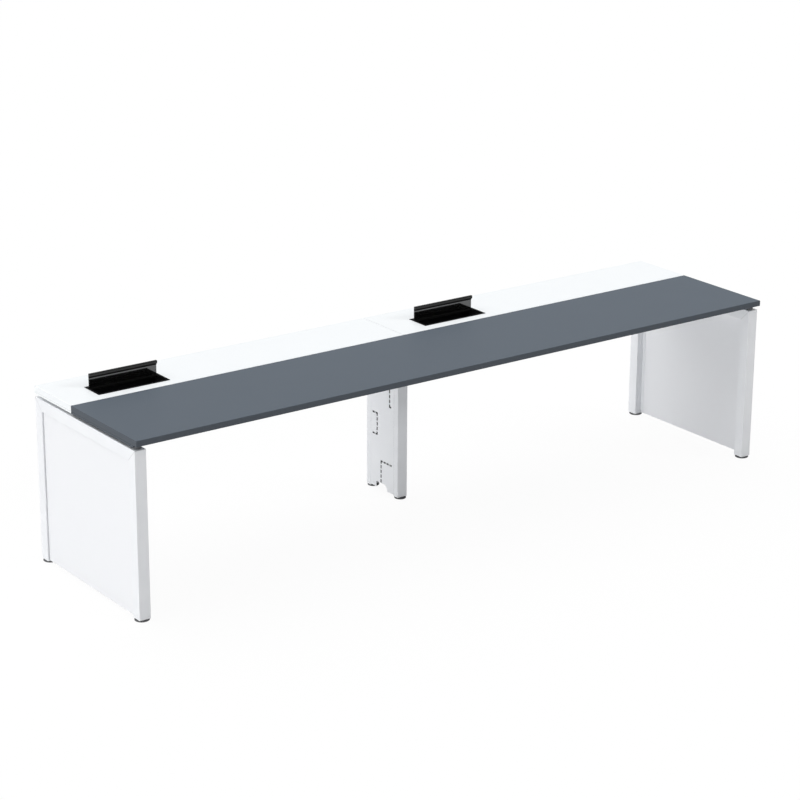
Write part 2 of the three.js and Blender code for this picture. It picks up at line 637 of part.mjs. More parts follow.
// Lid section in (y, z) about the pin, standing open: rolled barrel, plate, rib and turned lip
function flapLid() {
  const outer = BARREL_RADIUS;
  const inner = LID_INNER_FACE;
  const lipFront = inner - LID_LIP_DEPTH;
  const lipBottom = LID_REACH - LID_LIP_HEIGHT;
  const ribTop = LID_REACH - LID_RIB_FROM_TIP;
  const r = LID_LIP_RADIUS;
  const section = new THREE.Shape();
  section.moveTo(outer, 0);
  section.lineTo(outer, LID_REACH - r);
  section.absarc(outer - r, LID_REACH - r, r, 0, Math.PI / 2);
  section.absarc(lipFront + r, LID_REACH - r, r, Math.PI / 2, Math.PI);
  section.absarc(lipFront + r, lipBottom + r, r, Math.PI, 1.5 * Math.PI);
  section.lineTo(inner, lipBottom);
  section.lineTo(inner, ribTop);
  section.lineTo(inner - LID_RIB_SIZE, ribTop);
  section.lineTo(inner - LID_RIB_SIZE, ribTop - LID_RIB_SIZE);
  section.lineTo(inner, ribTop - LID_RIB_SIZE);
  section.absarc(0, 0, outer, Math.acos(inner / outer), 2 * Math.PI);
  const bore = new THREE.Path();
  bore.absarc(0, 0, PIN_BORE, 0, 2 * Math.PI);
  section.holes.push(bore);
  return prism(section, 'x', -LID_HALF, LID_HALF, { curveSegments: 6 });
}

// Brush strip on the sleeve's front wall: a bar with tufts that reach towards the closed lid
function flapBrush() {
  const half = SLEEVE_INNER_HALF - SEAT_GAP;
  const back = FLAP_FRONT + SLEEVE_INSET + SLEEVE_WALL + SEAT_GAP;
  const front = back + BRUSH_BACK;
  const lipSweep = Math.hypot(LID_REACH, Math.max(BARREL_RADIUS, LID_LIP_DEPTH - LID_INNER_FACE));
  const tips = HINGE_Y - lipSweep - 2 * RUNNING_GAP;
  const top = DESK_HEIGHT - SEAT_GAP;
  const bar = block(-half, half, back, front, top - BRUSH_HEIGHT, top);

  const count = Math.floor(2 * half / BRISTLE_PITCH);
  const comb = [[-half, (back + front) / 2], [half, (back + front) / 2], [half, front]];
  for (let i = count - 1; i >= 0; i -= 1) {
    const middle = (i - (count - 1) / 2) * BRISTLE_PITCH;
    const [left, right] = [middle - BRISTLE_WIDTH / 2, middle + BRISTLE_WIDTH / 2];
    comb.push([right, front], [right, tips], [left, tips], [left, front]);
  }
  comb.push([-half, front]);
  const level = top - BRUSH_HEIGHT / 2;
  const tufts = prism(polygon(comb), 'z', level - BRISTLE_THICKNESS / 2, level + BRISTLE_THICKNESS / 2);
  return geometryOf(join([bar, tufts]));
}

// Folded cable tray between the middle and the rear beam, with tie slots in its floor
function tray({ name, side }) {
  const ends = [
    side * (POST_SIZE / 2 + TRAY_LEG_GAP),
    side * (FRAME_INNER - SEAT_GAP - SADDLE_LENGTH - TRAY_SADDLE_GAP),
  ];
  const [x0, x1] = [Math.min(...ends), Math.max(...ends)];
  const y0 = MIDDLE_BEAM_Y + BEAM_WIDTH / 2 + SEAT_GAP;
  const y1 = REAR_BEAM_Y - BEAM_WIDTH / 2 - SEAT_GAP;
  const top = BOARD_UNDERSIDE - TRAY_TOP_GAP;
  const floor = top - TRAY_DEPTH;
  const channel = prism(channelSection(y0, y1, floor, top, TRAY_SHEET), 'x', x0, x1);

  const slots = [];
  const count = Math.floor((x1 - x0) / TRAY_SLOT_PITCH);
  const quarter = (y1 - y0) / 4;
  for (let i = 0; i < count; i += 1) {
    const x = (x0 + x1) / 2 + (i - (count - 1) / 2) * TRAY_SLOT_PITCH;
    for (const y of [y0 + quarter, y1 - quarter]) {
      slots.push(block(x - TRAY_SLOT_LENGTH / 2, x + TRAY_SLOT_LENGTH / 2,
        y - TRAY_SLOT_WIDTH / 2, y + TRAY_SLOT_WIDTH / 2,
        floor - TRAY_SHEET, floor + 2 * TRAY_SHEET));
    }
  }
  piece(desk, `${name}_cable_tray`, cut(solid(channel), slots), 'whiteSteel');
}

boards();
beams();
middleLeg();
feet();
for (const bay of BAYS) {
  endFrame(bay);
  flap(bay);
  tray(bay);
}

export default desk;
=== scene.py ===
import json
import math
import random

import bmesh
import bpy
from mathutils import Matrix, Vector


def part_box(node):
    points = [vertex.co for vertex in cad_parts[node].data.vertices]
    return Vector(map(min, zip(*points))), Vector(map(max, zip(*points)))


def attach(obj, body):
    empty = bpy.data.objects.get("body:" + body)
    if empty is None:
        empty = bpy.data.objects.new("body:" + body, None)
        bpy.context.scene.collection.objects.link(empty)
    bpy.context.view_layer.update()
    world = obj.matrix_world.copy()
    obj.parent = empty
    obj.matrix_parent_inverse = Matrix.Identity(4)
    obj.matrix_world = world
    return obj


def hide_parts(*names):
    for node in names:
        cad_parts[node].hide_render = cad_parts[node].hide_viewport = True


# Benching desk for two: finishes, feet, brushes, board lips, screws, light and camera.
# Everything is in metres, in the desk's own frame: +X along it, -Y towards the people, +Z up.

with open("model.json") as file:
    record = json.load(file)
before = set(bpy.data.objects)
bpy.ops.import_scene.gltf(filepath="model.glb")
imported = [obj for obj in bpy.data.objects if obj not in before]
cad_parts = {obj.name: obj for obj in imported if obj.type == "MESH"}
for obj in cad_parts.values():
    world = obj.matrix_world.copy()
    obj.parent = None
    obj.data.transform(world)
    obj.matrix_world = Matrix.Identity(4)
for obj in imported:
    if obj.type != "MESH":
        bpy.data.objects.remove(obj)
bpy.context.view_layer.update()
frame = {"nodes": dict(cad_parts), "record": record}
NODES = frame["nodes"]
ENDS = ("left", "right")
PLACES = ("front", "rear")
ROWS = ("front", "middle", "rear")
FEET = [f"{side}_{place}" for side in ("left", "middle", "right") for place in PLACES]
MM = 0.001


# Node helpers

# Sockets of the mix node: its share, its two numbers, its two colours, and its outputs
SHARE, NUMBERS, COLOURS = 0, (2, 3), (6, 7)
NUMBER_OUT, COLOUR_OUT = 0, 2
# The middle part of a noise, where nearly all of its values lie
NOISE_LOW, NOISE_HIGH = 0.3, 0.7


def new_material(name):
    material = bpy.data.materials.new(name)
    material.use_nodes = True
    return material, material.node_tree, material.node_tree.nodes["Principled BSDF"]


def add(tree, kind, inputs=None, **settings):
    """A node with its settings, whose inputs are values or other nodes' outputs."""
    node = tree.nodes.new(kind)
    for key, value in settings.items():
        setattr(node, key, value)
    for key, value in (inputs or {}).items():
        if isinstance(value, bpy.types.NodeSocket):
            tree.links.new(value, node.inputs[key])
        else:
            node.inputs[key].default_value = value
    return node


def object_point(tree, stretch=None):
    """Position on the piece in metres, stretched along its axes if wanted."""
    place = add(tree, "ShaderNodeTexCoord").outputs["Object"]
    if not stretch:
        return place
    return add(tree, "ShaderNodeMapping", {"Vector": place, "Scale": stretch}).outputs["Vector"]


def split(tree, vector):
    """The outputs X, Y and Z of a vector."""
    return add(tree, "ShaderNodeSeparateXYZ", {"Vector": vector}).outputs


def noise(tree, point, scale, detail=2.0, roughness=0.5):
    inputs = {"Vector": point, "Scale": scale, "Detail": detail, "Roughness": roughness}
    return add(tree, "ShaderNodeTexNoise", inputs).outputs["Fac"]


def spread(tree, value, low, high, start=NOISE_LOW, end=NOISE_HIGH):
    """A value from start to end, mapped to low to high."""
    inputs = {"Value": value, "From Min": start, "From Max": end, "To Min": low, "To Max": high}
    return add(tree, "ShaderNodeMapRange", inputs).outputs["Result"]


def blend(tree, share, first, second):
    """A colour between two, each of them plain or another node's output."""
    node = add(tree, "ShaderNodeMix", {SHARE: share}, data_type="RGBA")
    for index, value in zip(COLOURS, (first, second)):
        if isinstance(value, bpy.types.NodeSocket):
            tree.links.new(value, node.inputs[index])
        else:
            node.inputs[index].default_value = (*value, 1.0)
    return node.outputs[COLOUR_OUT]


def mix_value(tree, share, first, second):
    inputs = {SHARE: share, NUMBERS[0]: first, NUMBERS[1]: second}
    return add(tree, "ShaderNodeMix", inputs, data_type="FLOAT").outputs[NUMBER_OUT]


def math_node(tree, operation, first, second=0.0):
    return add(tree, "ShaderNodeMath", {0: first, 1: second}, operation=operation).outputs["Value"]


def relief(tree, shader, height, distance, strength):
    inputs = {"Height": height, "Distance": distance, "Strength": strength}
    tree.links.new(add(tree, "ShaderNodeBump", inputs).outputs["Normal"], shader.inputs["Normal"])


def darker(colour, share):
    return tuple(share * part for part in colour)


# Laminate of the boards

# Scales of the textures here and below are repeats per metre
LAMINATE_GRAIN, LAMINATE_CLOUD, EDGING_GRAIN = 1500, 7, 220
CLOUD_SHARE, EDGING_SHARE = 0.22, 0.5
# How upright a surface's normal is where the edging goes over into the face
EDGING_TILT = (0.55, 0.75)
# The painted shade in the seam between the boards: its strength, its tone, and the share of its width that
# has full strength
JOINT_SHADE_SHARE, JOINT_SHADE_TONE, JOINT_CORE = 0.3, 0.5, 0.7
# Here and below: what the texture takes from and adds to the roughness, and its relief's depth and strength
LAMINATE_ROUGH = (-0.05, 0.06)
LAMINATE_RELIEF = (0.12 * MM, 0.22)


def laminate(name, light, dark, band, gloss, shine, joint=None):
    """Pressed laminate with a fine pearl grain, and smoother edging round the board.

    joint is the half width of the line of painted shade in the seam where two boards meet at the middle of
    the desk.
    """
    material, tree, shader = new_material(name)
    point = object_point(tree)
    grain = noise(tree, point, LAMINATE_GRAIN, detail=3.0, roughness=0.6)
    cloud = noise(tree, point, LAMINATE_CLOUD)
    face = blend(tree, spread(tree, grain, 0, 1), dark, light)
    face = blend(tree, spread(tree, cloud, 0, CLOUD_SHARE), face, dark)
    edging = spread(tree, noise(tree, point, EDGING_GRAIN), 0, EDGING_SHARE)
    edging = blend(tree, edging, band, dark)
    upright = split(tree, add(tree, "ShaderNodeNewGeometry").outputs["Normal"])["Z"]
    flat = spread(tree, math_node(tree, "ABSOLUTE", upright), 0, 1, *EDGING_TILT)
    colour = blend(tree, flat, edging, face)
    # Painted shade along the seam where the two boards meet
    if joint:
        across = math_node(tree, "ABSOLUTE", split(tree, point)["X"])
        line = spread(tree, across, JOINT_SHADE_SHARE, 0, JOINT_CORE * joint, joint)
        colour = blend(tree, line, colour, darker(dark, JOINT_SHADE_TONE))
    tree.links.new(colour, shader.inputs["Base Color"])
    low, high = (gloss + change for change in LAMINATE_ROUGH)
    tree.links.new(spread(tree, grain, low, high), shader.inputs["Roughness"])
    shader.inputs["Specular IOR Level"].default_value = shine
    relief(tree, shader, grain, *LAMINATE_RELIEF)
    return material


# Powder coat of the steel

COAT_PEEL, COAT_CLOUD = 620, 11
COAT_ROUGH = (-0.04, 0.05)
COAT_RELIEF = (0.15 * MM, 0.2)
# Strength and tone of the painted shade along the mitres' lines, and where it begins to fade and ends
SEAM_SHADE_SHARE, SEAM_SHADE_TONE = 0.35, 0.45
SEAM_CORE, SEAM_EDGE = 0.6 * MM, 2.2 * MM
# Colour of the painted shade inside the leg covers and round their slots
SHADE_DARK = (0.012, 0.012, 0.013)
# How strongly the painted shade covers the slots and the band round them
SLOT_SHADE_SHARE = 0.85

# Knock-outs in the leg covers: the slots, the lines that they stand on, and the heights of the corners
SLOT_LENGTH, SLOT_WIDTH, SLOT_PITCH = 13 * MM, 5 * MM, 22 * MM
COVER_LOW, COVER_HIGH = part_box("middle_left_cover")
UPPER_LINE, UPPER_FOOT, UPPER_TOP = COVER_LOW.y + 32 * MM, 407 * MM, 504 * MM
MIDDLE_LINE, MIDDLE_FOOT, MIDDLE_TOP = COVER_HIGH.y - 46 * MM, 257 * MM, 354 * MM
LOWER_LINE, LOWER_TOP = COVER_LOW.y + 93 * MM, 141 * MM
# Rows of slots from a corner: its y and z, the axis and the way they go, and how many
KNOCKOUT_ROWS = (
    (UPPER_LINE, UPPER_FOOT, "Z", 1, 5),
    (UPPER_LINE, UPPER_FOOT, "Y", -1, 1),
    (UPPER_LINE, UPPER_TOP, "Y", -1, 1),
    (MIDDLE_LINE, MIDDLE_FOOT, "Z", 1, 5),
    (MIDDLE_LINE, MIDDLE_FOOT, "Y", 1, 2),
    (MIDDLE_LINE, MIDDLE_TOP, "Y", 1, 2),
    (LOWER_LINE, LOWER_TOP, "Z", -1, 5),
    (LOWER_LINE, LOWER_TOP, "Y", -1, 4),
)


def slot_shade_mask(tree, axes, rim):
    """One over the slots of the leg covers' knock-outs and a rim of that width round them, where painted
    shade goes, else zero.
    """
    mask = 0.0
    length = SLOT_LENGTH + 2 * rim
    reach = SLOT_WIDTH / 2 + rim
    for y, z, axis, way, count in KNOCKOUT_ROWS:
        start, level, other = (z, y, "Y") if axis == "Z" else (y, z, "Z")
        along = math_node(tree, "MULTIPLY", math_node(tree, "SUBTRACT", axes[axis], start), way)
        along = math_node(tree, "ADD", along, reach)
        across = math_node(tree, "ABSOLUTE", math_node(tree, "SUBTRACT", axes[other], level))
        inside = math_node(tree, "LESS_THAN", across, reach)
        for test, limit in (("GREATER_THAN", 0.0), ("LESS_THAN", (count - 1) * SLOT_PITCH + length)):
            inside = math_node(tree, "MULTIPLY", inside, math_node(tree, test, along, limit))
        step = math_node(tree, "FLOORED_MODULO", along, SLOT_PITCH)
        slot = math_node(tree, "MULTIPLY", inside, math_node(tree, "LESS_THAN", step, length))
        mask = math_node(tree, "MAXIMUM", slot, mask)
    return mask


def powder_coat(name, light, dark, gloss, seams=(), inside_shade=None, rim=None):
    """Powder coat with a fine orange peel.

    seams are mitres as (y, z, slope), which show as thin lines of painted shade. A sheet is painted
    dark within the given distance of the middle plane, as shade inside the leg; rim is the width
    of the band of painted shade round the leg covers' slots.
    """
    material, tree, shader = new_material(name)
    point = object_point(tree)
    peel = noise(tree, point, COAT_PEEL, roughness=0.55)
    colour = blend(tree, spread(tree, noise(tree, point, COAT_CLOUD), 0, 1), dark, light)
    axes = split(tree, point)
    # The mitres are drawn as thin lines of painted shade
    for y, z, slope in seams:
        across = math_node(tree, "MULTIPLY", math_node(tree, "SUBTRACT", axes["Y"], y), slope)
        offset = math_node(tree, "SUBTRACT", math_node(tree, "SUBTRACT", axes["Z"], z), across)
        line = spread(tree, math_node(tree, "ABSOLUTE", offset), SEAM_SHADE_SHARE, 0, SEAM_CORE, SEAM_EDGE)
        colour = blend(tree, line, colour, darker(dark, SEAM_SHADE_TONE))
    # Painted shade: the sheet is dark inside the leg
    if inside_shade:
        inside = math_node(tree, "LESS_THAN", math_node(tree, "ABSOLUTE", axes["X"]), inside_shade)
        colour = blend(tree, inside, colour, SHADE_DARK)
    # Painted shade: a dark band round the knock-out slots and over their walls
    if rim:
        slot_shade = math_node(tree, "MULTIPLY", slot_shade_mask(tree, axes, rim), SLOT_SHADE_SHARE)
        colour = blend(tree, slot_shade, colour, SHADE_DARK)
    tree.links.new(colour, shader.inputs["Base Color"])
    low, high = (gloss + change for change in COAT_ROUGH)
    tree.links.new(spread(tree, peel, low, high), shader.inputs["Roughness"])
    relief(tree, shader, peel, *COAT_RELIEF)
    return material


# Plastic, black lids, bare steel and bristles

MOULDING_CLOUD = 60
MOULDING_ROUGH = (-0.06, 0.06)
MOULDING_RELIEF = (0.1 * MM, 0.25)
# Drawn textures have a scale for each axis
LID_DRAWING, LID_MARKS = (6, 1600, 1600), 24
LID_TONES, LID_ROUGH = (0.7, 1.2), (-0.02, 0.03)
LID_RELIEF = (0.03 * MM, 0.12)
POLISH_ROUGH, POLISH_IOR = 0.06, 2.0
STEEL_DRAWING, ZINC_GRAIN = (14, 900, 900), (300, 300, 300)
STEEL_ROUGH = (-0.07, 0.09)
STEEL_RELIEF = (0.04 * MM, 0.2)
STRANDS = (1400, 20, 500)
STRAND_ROUGH = (0.45, 0.65)
STRAND_RELIEF = (0.1 * MM, 0.2)
DULL_SHINE = 0.04


def moulding(name, light, dark, gloss, shine, grain=1900):
    """Moulded plastic with a spark-eroded grain."""
    material, tree, shader = new_material(name)
    point = object_point(tree)
    cells = add(tree, "ShaderNodeTexVoronoi", {"Vector": point, "Scale": grain}).outputs["Distance"]
    cloud = noise(tree, point, MOULDING_CLOUD, detail=3.0)
    tree.links.new(blend(tree, spread(tree, cloud, 0, 1), dark, light), shader.inputs["Base Color"])
    low, high = (gloss + change for change in MOULDING_ROUGH)
    tree.links.new(spread(tree, cells, low, high, 0, 1), shader.inputs["Roughness"])
    shader.inputs["Specular IOR Level"].default_value = shine
    relief(tree, shader, cells, *MOULDING_RELIEF)
    return material


def lid_finish(name, bands, back):
    """Black lid with faint drawing lines along it, polished on part of its inner side.

    bands go up the open lid as (height they start at, tone, roughness, polish), and back is the
    same for its outer side, which starts at a depth. On the lip the bands' tones are a painted
    sheen, brightest along its middle, with painted shade at its top and bottom edges.
    """
    material, tree, shader = new_material(name)
    streaks = noise(tree, object_point(tree, LID_DRAWING), 1.0, detail=3.0, roughness=0.6)
    point = object_point(tree)
    axes = split(tree, point)
    # The bands' tones on the lip are painted sheen and painted shade
    tone, rough, polish = bands[0][1:]
    for axis, start, *band in [("Z", *band) for band in bands[1:]] + [("Y", *back)]:
        beyond = math_node(tree, "GREATER_THAN", axes[axis], start)
        tone, rough, polish = (mix_value(tree, beyond, before, after)
                               for before, after in zip((tone, rough, polish), band))
    tone = math_node(tree, "MULTIPLY", tone, spread(tree, streaks, *LID_TONES))
    tree.links.new(tone, shader.inputs["Base Color"])
    marks = spread(tree, noise(tree, point, LID_MARKS), *LID_ROUGH)
    tree.links.new(math_node(tree, "ADD", rough, marks), shader.inputs["Roughness"])
    tree.links.new(polish, shader.inputs["Coat Weight"])
    shader.inputs["Specular IOR Level"].default_value = DULL_SHINE
    shader.inputs["Coat Roughness"].default_value = POLISH_ROUGH
    shader.inputs["Coat IOR"].default_value = POLISH_IOR
    relief(tree, shader, streaks, *LID_RELIEF)
    return material


def bare_steel(name, light, dark, gloss, stretch):
    """Steel whose texture is drawn out along the axis with the lowest stretch."""
    material, tree, shader = new_material(name)
    streaks = noise(tree, object_point(tree, stretch), 1.0, detail=4.0, roughness=0.65)
    tree.links.new(blend(tree, spread(tree, streaks, 0, 1), dark, light), shader.inputs["Base Color"])
    low, high = (gloss + change for change in STEEL_ROUGH)
    tree.links.new(spread(tree, streaks, low, high), shader.inputs["Roughness"])
    shader.inputs["Metallic"].default_value = 1.0
    relief(tree, shader, streaks, *STEEL_RELIEF)
    return material


def fibre(name, light, dark):
    """Nylon bristles, some strands paler and some smoother than others."""
    material, tree, shader = new_material(name)
    strand = noise(tree, object_point(tree, STRANDS), 1.0)
    tree.links.new(blend(tree, spread(tree, strand, 0, 1), dark, light), shader.inputs["Base Color"])
    tree.links.new(spread(tree, strand, *STRAND_ROUGH), shader.inputs["Roughness"])
    shader.inputs["Specular IOR Level"].default_value = DULL_SHINE
    relief(tree, shader, strand, *STRAND_RELIEF)
    return material


# The finishes, and the nodes that they go on

# Mitres of the end frames as (y, z, slope), drawn as lines of painted shade
FRAME_MITRES = ((-0.385, 0.700, -1.0), (0.395, 0.700, 1.0))
# Painted shade on the leg covers: the distance from the middle plane within which they are dark inside the
# leg, and the width of the dark band round their slots
COVER_FACE, COVER_SLOT_SHADE = 24.3 * MM, 1.6 * MM
# Bands up the open lid as (height they start at, tone, roughness, polish), and its outer side from a depth.
# The last four bands are the lip: a painted sheen along its middle, painted shade at its top and bottom
# edges.
LID_BANDS = (
    (0, 0.003, 0.6, 0),
    (0.7474, 0.004, 0.5, 1),
    (0.7876, 0.004, 0.6, 0),
    (0.7934, 0.028, 0.55, 0),
    (0.7972, 0.072, 0.5, 0),
    (0.8030, 0.045, 0.55, 0),
    (0.8062, 0.02, 0.55, 0),
)
LID_BACK = (0.2430, 0.022, 0.42, 0.15)
COATS = {"light": (0.882, 0.897, 0.919), "dark": (0.852, 0.867, 0.893), "gloss": 0.4}

SLATE = laminate("slate_laminate", light=(0.095, 0.118, 0.145), dark=(0.083, 0.1035, 0.129),
                 band=(0.084, 0.094, 0.108), gloss=0.52, shine=0.1)
WHITE = laminate("white_laminate", light=(0.920, 0.946, 0.957), dark=(0.880, 0.906, 0.927),
                 band=(0.890, 0.916, 0.927), gloss=0.48, shine=0.3, joint=3 * MM)
PANEL = laminate("panel_laminate", light=(0.903, 0.914, 0.938), dark=(0.865, 0.876, 0.905),
                 band=(0.873, 0.883, 0.903), gloss=0.48, shine=0.3)
COAT = powder_coat("white_powder_coat", **COATS)
FRAME_COAT = powder_coat("frame_powder_coat", **COATS, seams=FRAME_MITRES)
COVER_COAT = powder_coat("cover_powder_coat", **COATS, inside_shade=COVER_FACE, rim=COVER_SLOT_SHADE)
SPACER = powder_coat("spacer_powder_coat", light=(0.12, 0.126, 0.134), dark=(0.095, 0.1, 0.107), gloss=0.5)
LID = lid_finish("lid_black", LID_BANDS, LID_BACK)
BLACK = moulding("black_moulding", light=(0.006, 0.006, 0.0065), dark=(0.003, 0.003, 0.0035),
                 gloss=0.55, shine=0.03)
FOOT = moulding("foot_moulding", light=(0.13, 0.133, 0.139), dark=(0.102, 0.104, 0.11),
                gloss=0.5, shine=0.3, grain=1500)
RUBBER = moulding("foot_pad", light=(0.03, 0.03, 0.031), dark=(0.02, 0.02, 0.021),
                  gloss=0.75, shine=0.2, grain=2600)
BRISTLE = fibre("bristle", light=(0.007, 0.007, 0.0075), dark=(0.002, 0.002, 0.0025))
STEEL = bare_steel("drawn_steel", light=(0.62, 0.63, 0.65), dark=(0.44, 0.45, 0.47),
                   gloss=0.32, stretch=STEEL_DRAWING)
ZINC = bare_steel("zinc_plate", light=(0.66, 0.67, 0.69), dark=(0.5, 0.51, 0.53),
                  gloss=0.36, stretch=ZINC_GRAIN)

FINISH = {
    "slate_board": SLATE,
    "white_board": WHITE,
    "white_steel": COAT,
    "dark_spacer": SPACER,
    "black_lid": LID,
    "black_plastic": BLACK,
    "bristle": BRISTLE,
    "foot_plastic": FOOT,
    "pin_steel": STEEL,
}
for entry in frame["record"]["subparts"]:
    NODES[entry["node"]].material_slots[0].material = FINISH[entry["material_slot"]]
for side in ENDS:
    for node in (f"{side}_front_post", f"{side}_rear_post", f"{side}_top_rail"):
        NODES[node].material_slots[0].material = FRAME_COAT
    NODES[f"{side}_end_panel"].material_slots[0].material = PANEL
    NODES[f"middle_{side}_cover"].material_slots[0].material = COVER_COAT


# Mesh helpers

def piece(name, mesh_data, body, materials, sharp=35):
    """A finished piece that rides on a body, from a bmesh in the desk's frame.

    sharp is the angle in degrees from which an edge isn't shaded smooth.
    """
    mesh = bpy.data.meshes.new(name)
    bmesh.ops.recalc_face_normals(mesh_data, faces=mesh_data.faces)
    mesh_data.to_mesh(mesh)
    mesh_data.free()
    for material in materials:
        mesh.materials.append(material)
    mesh.polygons.foreach_set("use_smooth", [True] * len(mesh.polygons))
    mesh.set_sharp_from_angle(angle=math.radians(sharp))
    obj = bpy.data.objects.new(name, mesh)
    bpy.context.scene.collection.objects.link(obj)
    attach(obj, body)
    return obj


def rings(data, loops, index=0):
    """Closed skin over rings of points that all have the same count, with that material."""
    rows = [[data.verts.new(point) for point in loop] for loop in loops]
    count = len(rows[0])
    faces = []
    for lower, upper in zip(rows, rows[1:]):
        for i in range(count):
            j = (i + 1) % count
            faces.append(data.faces.new((lower[i], lower[j], upper[j], upper[i])))
    faces.append(data.faces.new(list(reversed(rows[0]))))
    faces.append(data.faces.new(rows[-1]))
    for face in faces:
        face.material_index = index


def circle(radius, height, count):
    step = 2 * math.pi / count
    return [Vector((radius * math.cos(i * step), radius * math.sin(i * step), height)) for i in range(count)]


def hexagon(inner, height, count):
    """Points round a hexagon of that inner radius, at even angles."""
    points = []
    for i in range(count):
        angle = 2 * math.pi * i / count
        reach = inner / math.cos((angle % (math.pi / 3)) - math.pi / 6)
        points.append(Vector((reach * math.cos(angle), reach * math.sin(angle), height)))
    return points


# Levelling feet: a crowned disc with a gripped rim, a pad under it, a hexagon nut and the stem

# In millimetres. The pad and the disc go as (inset from the rim, height, depth of the grip notches)
PAD_OUTLINE = ((3.0, 0, 0), (1.4, 0.1, 0), (1.1, 0.8, 0), (1.8, 0.9, 0))
DISC_OUTLINE = ((1.0, 0.8, 0), (0.3, 0.95, 0), (0, 1.3, 0.4), (0, 3.0, 0.4), (0.05, 3.4, 0),
                (0.3, 4.05, 0), (0.75, 4.55, 0), (1.4, 4.87, 0), (2.4, 5.0, 0))
# The hollow in the disc and the nut go as (shape, radius, height)
DISH_OUTLINE = ((circle, 14.0, 5.0), (circle, 13.4, 4.7), (circle, 11.0, 4.7))
NUT_OUTLINE = ((circle, 8.4, 4.7), (hexagon, 8.5, 4.9), (hexagon, 8.5, 6.6), (circle, 8.6, 6.95),
               (circle, 5.4, 7.0))
THREAD_ROOT, THREAD_CREST, THREAD_PITCH = 4.5, 4.95, 1.0
THREAD_START, THREAD_TURNS = 6.9, 5
FOOT_SIDES, NUT_SIDES, GRIP_STEP = 96, 48, 4
FOOT_MATERIALS = [FOOT, RUBBER, ZINC]
DISC_PART, PAD_PART, METAL_PART = range(3)


def foot_piece(name, place):
    data = bmesh.new()
    low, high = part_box(f"{place}_foot")
    centre = Vector(((low.x + high.x) / 2, (low.y + high.y) / 2, low.z))
    reach = (high.x - low.x) / 2

    def rim(inset, height, notch):
        points = circle(reach - inset * MM, height * MM, FOOT_SIDES)
        shrink = 1 - notch * MM / reach
        return [centre + Vector((p.x * shrink, p.y * shrink, p.z) if i % GRIP_STEP == 0 else p)
                for i, p in enumerate(points)]

    def ring(shape, radius, height, sides=NUT_SIDES):
        return [centre + point for point in shape(radius * MM, height * MM, sides)]

    rings(data, [rim(*level) for level in PAD_OUTLINE], PAD_PART)
    dish = [ring(*level, FOOT_SIDES) for level in DISH_OUTLINE]
    rings(data, [rim(*level) for level in DISC_OUTLINE] + dish, DISC_PART)
    rings(data, [ring(*level) for level in NUT_OUTLINE], METAL_PART)
    thread = [ring(circle, THREAD_ROOT, THREAD_START)]
    for turn in range(THREAD_TURNS):
        crest = THREAD_START + (turn + 0.5) * THREAD_PITCH
        thread.append(ring(circle, THREAD_CREST, crest))
        thread.append(ring(circle, THREAD_ROOT, crest + THREAD_PITCH / 2))
    thread.append(ring(circle, THREAD_ROOT, (high.z - low.z) / MM))
    rings(data, thread, METAL_PART)
    obj = piece(name, data, f"{place}_leveller", FOOT_MATERIALS, sharp=40)
    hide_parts(f"{place}_foot")


for place in FEET:
    foot_piece(f"{place}_foot_detail", place)


# Brush strips in the flaps: a holder with a folded slot, and rows of separate bristles

HOLDER_DEPTH, HOLDER_EDGE, HOLDER_END = 6 * MM, 0.6 * MM, 0.4 * MM
GROOVE_HALF, GROOVE_DEPTH = 2.2 * MM, 3 * MM
BRISTLE_ROWS, ROW_STEP, ROW_SHIFT = (-1, 0, 1), 0.75 * MM, 0.33
BRISTLE_PITCH, BRISTLE_MARGIN, BRISTLE_ROOT = 1.1 * MM, 1 * MM, 2.9 * MM
# How far tips stray sideways, fall short and stray up or down, in millimetres
TIP_SIDE, TIP_SHORT, TIP_RISE = 0.9, 0.9, 0.5
# Along a bristle, as (share of its length, radius)
BRISTLE_TAPER = ((0, 0.2 * MM), (0.6, 0.18 * MM), (1, 0.1 * MM))
BRISTLE_SAG = 0.35 * MM
BRISTLE_CORNERS = (0.0, 2.094, 4.189)
BRUSH_SEED = 11
HOLDER_PART, BRISTLE_PART = range(2)


def brush_piece(name, side, seed):
    data = bmesh.new()
    chance = random.Random(seed)
    low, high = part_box(f"{side}_flap_brush")
    front = low.y + HOLDER_DEPTH
    level = (low.z + high.z) / 2
    lower_half = [
        (low.y, low.z + HOLDER_EDGE),
        (low.y + HOLDER_EDGE, low.z),
        (front - HOLDER_EDGE, low.z),
        (front, low.z + HOLDER_EDGE),
        (front, level - GROOVE_HALF),
        (front - GROOVE_DEPTH, level - GROOVE_HALF),
    ]
    outline = lower_half + [(y, 2 * level - z) for y, z in reversed(lower_half)]
    ends = [low.x, low.x + HOLDER_END, high.x - HOLDER_END, high.x]
    rings(data, [[Vector((x, y, z)) for y, z in outline] for x in ends], HOLDER_PART)

    count = int((high.x - low.x - 2 * BRISTLE_MARGIN) / BRISTLE_PITCH)
    for row in BRISTLE_ROWS:
        for i in range(count):
            x = low.x + BRISTLE_MARGIN + (i + 0.5 + ROW_SHIFT * row) * BRISTLE_PITCH
            z = level + row * ROW_STEP
            root = Vector((x, front - BRISTLE_ROOT, z))
            tip_x = x + chance.uniform(-TIP_SIDE, TIP_SIDE) * MM
            tip_y = high.y - chance.uniform(0, TIP_SHORT) * MM
            tip_z = z + chance.uniform(-TIP_RISE, TIP_RISE) * MM
            tip = Vector((tip_x, tip_y, tip_z))
            loops = []
            for share, radius in BRISTLE_TAPER:
                middle = root.lerp(tip, share) + Vector((0, 0, -BRISTLE_SAG * share * share))
                loops.append([middle + Vector((radius * math.cos(corner), 0, radius * math.sin(corner)))
                              for corner in BRISTLE_CORNERS])
            rings(data, loops, BRISTLE_PART)
    obj = piece(name, data, "desk", [BLACK, BRISTLE], sharp=40)
    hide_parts(f"{side}_flap_brush")


